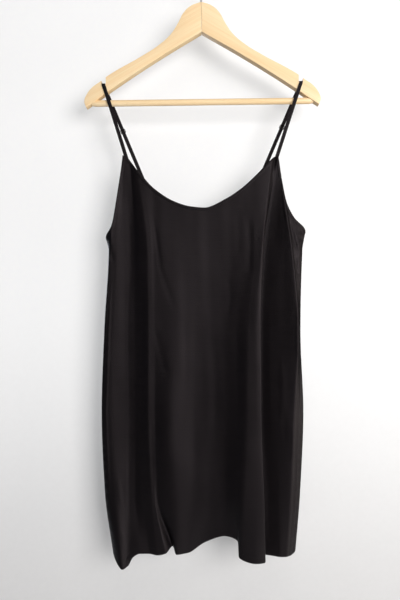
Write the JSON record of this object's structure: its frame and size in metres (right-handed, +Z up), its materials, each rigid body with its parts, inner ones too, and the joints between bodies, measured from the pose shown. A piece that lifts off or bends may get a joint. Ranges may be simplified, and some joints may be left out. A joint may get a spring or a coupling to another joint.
{
  "type": "slip dress on a clothes hanger",
  "caption": "Sleeveless slip dress with thin adjustable straps, hanging by them from the notches of a wooden clothes hanger with a trouser bar.",
  "frame": {"origin": "top of the inside of the hanger's hook, where a rail or a nail carries it", "axes": "+Z up, the front of the dress faces -Y, +X to the right of someone who looks at the front"},
  "size_m": [0.4419, 0.1023, 1.1219],
  "materials": {
    "crepe": "black woven crepe, soft matte with a faint sheen",
    "enamel": "black coated wire, satin",
    "beech": "clear lacquered pale beech, satin",
    "steel": "bright plated steel wire"
  },
  "bodies": {
    "root": {"front_panel": "crepe", "back_panel": "crepe", "strap_left": "crepe", "strap_right": "crepe", "loop_tab_left": "crepe", "loop_tab_right": "crepe", "slider_left": "enamel", "slider_right": "enamel", "loop_left": "enamel", "loop_right": "enamel", "hanger_arm_left": "beech", "hanger_arm_right": "beech", "trouser_bar": "beech", "hook": "steel"}
  },
  "joints": []
}
